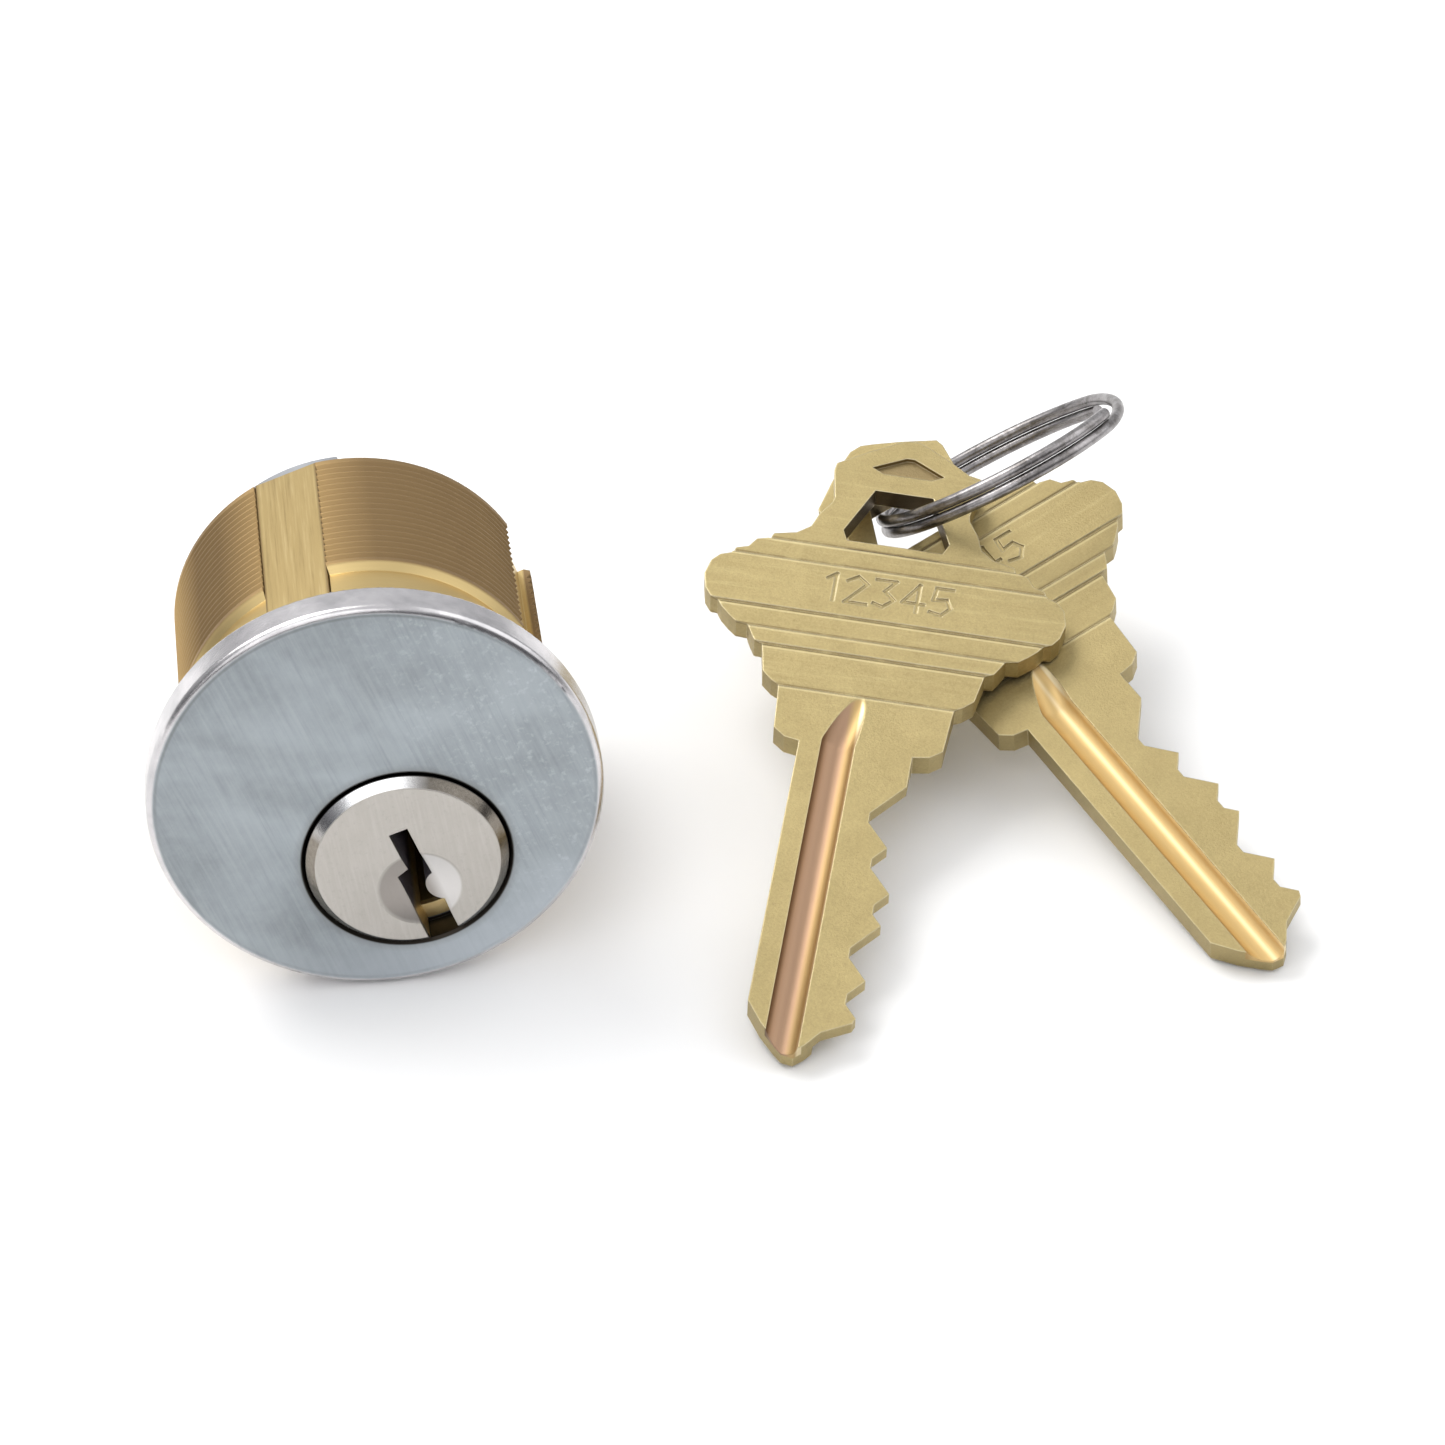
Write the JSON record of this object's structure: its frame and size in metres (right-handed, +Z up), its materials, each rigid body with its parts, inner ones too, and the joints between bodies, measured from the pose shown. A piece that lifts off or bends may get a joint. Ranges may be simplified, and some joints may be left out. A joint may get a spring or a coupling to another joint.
{
  "type": "mortise lock cylinder with keys",
  "caption": "Threaded mortise lock cylinder lying on its side, with a turning off-centre plug, pin stacks, a rear cam, and cut keys on a split ring.",
  "frame": {"origin": "middle of the set's footprint, on the table the lock and keys lie on", "axes": "+X along the set from lock to keys, +Z up, -Y the side the lock's head faces"},
  "size_m": [0.0906, 0.0696, 0.0354],
  "materials": {
    "shell_brass": "turned brass, head satin plated grey",
    "cover_brass": "drawn strip",
    "plug_nickel": "nickel-plated brass, brushed",
    "cam_zinc": "zinc plated",
    "screw_steel": "zinc plated",
    "pin_brass": "turned",
    "spring_steel": "drawn wire",
    "key_brass": "tumbled",
    "ring_steel": "nickel-plated wire"
  },
  "bodies": {
    "cylinder": {"cylinder_shell": "shell_brass", "chamber_cover": "cover_brass", "pin_spring_1": "spring_steel", "pin_spring_2": "spring_steel", "pin_spring_3": "spring_steel", "pin_spring_4": "spring_steel", "pin_spring_5": "spring_steel"},
    "plug": {"plug": "plug_nickel", "cam": "cam_zinc", "cam_screws": "screw_steel"},
    "key_ring": {"split_ring": "ring_steel"},
    "key_a": {"key_a": "key_brass"},
    "key_b": {"key_b": "key_brass"},
    "key_pin_1": {"key_pin_1": "pin_brass"},
    "driver_pin_1": {"driver_pin_1": "pin_brass"},
    "key_pin_2": {"key_pin_2": "pin_brass"},
    "driver_pin_2": {"driver_pin_2": "pin_brass"},
    "key_pin_3": {"key_pin_3": "pin_brass"},
    "driver_pin_3": {"driver_pin_3": "pin_brass"},
    "key_pin_4": {"key_pin_4": "pin_brass"},
    "driver_pin_4": {"driver_pin_4": "pin_brass"},
    "key_pin_5": {"key_pin_5": "pin_brass"},
    "driver_pin_5": {"driver_pin_5": "pin_brass"}
  },
  "joints": [
    {"name": "plug_turn", "type": "hinge", "parent": "cylinder", "child": "plug", "pos_m": [-0.02673, -0.01058, 0.01047], "axis": [-0.1183, 0.9846, -0.1286], "continuous": true},
    {"name": "key_pin_1_slide", "type": "slide", "parent": "plug", "child": "key_pin_1", "axis": [-0.354, 0.0792, 0.9319], "range_m": [-0.0016, 0]},
    {"name": "driver_pin_1_slide", "type": "slide", "parent": "cylinder", "child": "driver_pin_1", "axis": [-0.354, 0.0792, 0.9319], "range_m": [0, 0.0027], "stiffness_N_per_m": 120, "springref_m": -0.004, "deforming": ["pin_spring_1"]},
    {"name": "key_pin_2_slide", "type": "slide", "parent": "plug", "child": "key_pin_2", "axis": [-0.354, 0.0792, 0.9319], "range_m": [-0.00242, 0]},
    {"name": "driver_pin_2_slide", "type": "slide", "parent": "cylinder", "child": "driver_pin_2", "axis": [-0.354, 0.0792, 0.9319], "range_m": [0, 0.0027], "stiffness_N_per_m": 120, "springref_m": -0.004, "deforming": ["pin_spring_2"]},
    {"name": "key_pin_3_slide", "type": "slide", "parent": "plug", "child": "key_pin_3", "axis": [-0.354, 0.0792, 0.9319], "range_m": [-0.00325, 0]},
    {"name": "driver_pin_3_slide", "type": "slide", "parent": "cylinder", "child": "driver_pin_3", "axis": [-0.354, 0.0792, 0.9319], "range_m": [0, 0.0027], "stiffness_N_per_m": 120, "springref_m": -0.004, "deforming": ["pin_spring_3"]},
    {"name": "key_pin_4_slide", "type": "slide", "parent": "plug", "child": "key_pin_4", "axis": [-0.354, 0.0792, 0.9319], "range_m": [-0.00201, 0]},
    {"name": "driver_pin_4_slide", "type": "slide", "parent": "cylinder", "child": "driver_pin_4", "axis": [-0.354, 0.0792, 0.9319], "range_m": [0, 0.0027], "stiffness_N_per_m": 120, "springref_m": -0.004, "deforming": ["pin_spring_4"]},
    {"name": "key_pin_5_slide", "type": "slide", "parent": "plug", "child": "key_pin_5", "axis": [-0.354, 0.0792, 0.9319], "range_m": [-0.00242, 0]},
    {"name": "driver_pin_5_slide", "type": "slide", "parent": "cylinder", "child": "driver_pin_5", "axis": [-0.354, 0.0792, 0.9319], "range_m": [0, 0.0027], "stiffness_N_per_m": 120, "springref_m": -0.004, "deforming": ["pin_spring_5"]},
    {"name": "key_set_lift", "type": "slide", "parent": "cylinder", "child": "key_ring", "axis": [0, 0, 1], "range_m": [0, 0.05]},
    {"name": "key_a_fan", "type": "hinge", "parent": "key_ring", "child": "key_a", "pos_m": [0.01473, 0.01673, 0.01298], "axis": [-0.0191, 0.2223, -0.9748], "range_deg": [0, 18]},
    {"name": "key_b_fan", "type": "hinge", "parent": "key_ring", "child": "key_b", "pos_m": [0.01311, 0.01975, 0.01026], "axis": [-0.0777, -0.2471, 0.9659], "range_deg": [0, 40]}
  ]
}
